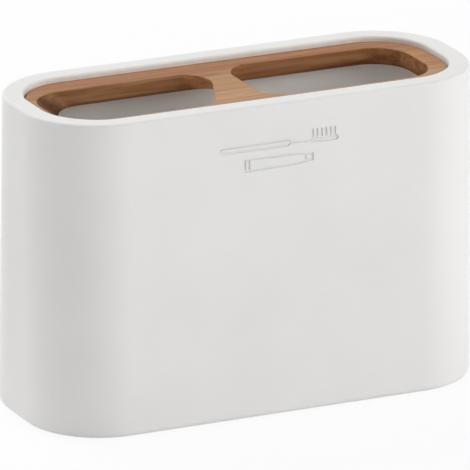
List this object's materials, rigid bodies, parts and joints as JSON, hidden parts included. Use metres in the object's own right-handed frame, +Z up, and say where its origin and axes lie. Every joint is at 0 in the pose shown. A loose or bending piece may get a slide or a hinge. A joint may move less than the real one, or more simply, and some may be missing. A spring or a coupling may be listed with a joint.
{
  "type": "toothbrush holder",
  "caption": "Heavy oblong countertop holder for toothbrushes and paste, with front and rear that spread a little downwards, a bamboo insert that lifts out of a recess in its rim, and soft feet underneath.",
  "frame": {"origin": "middle of the plane that the feet stand on, under the middle of the holder", "axes": "+X along the length towards the right end, +Y from the front to the back, +Z up"},
  "size_m": [0.135, 0.0578, 0.0907],
  "materials": {
    "cast_shell": "fine matt cast stone-resin, off-white",
    "bamboo_outer_strip": "oiled bamboo, warm brown, long grain",
    "bamboo_middle_strip": "oiled bamboo, lighter honey brown, long grain",
    "foot": "matt translucent grey silicone"
  },
  "bodies": {
    "shell": {"body_shell": "cast_shell", "foot_front_left": "foot", "foot_front_right": "foot", "foot_rear_left": "foot", "foot_rear_right": "foot"},
    "insert": {"insert_rear_strip": "bamboo_outer_strip", "insert_front_strip": "bamboo_outer_strip", "insert_left_end": "bamboo_middle_strip", "insert_bridge": "bamboo_middle_strip", "insert_right_end": "bamboo_middle_strip"}
  },
  "joints": [
    {"name": "insert_lift", "type": "slide", "parent": "shell", "child": "insert", "axis": [0, 0, 1], "range_m": [0, 0.03]}
  ]
}
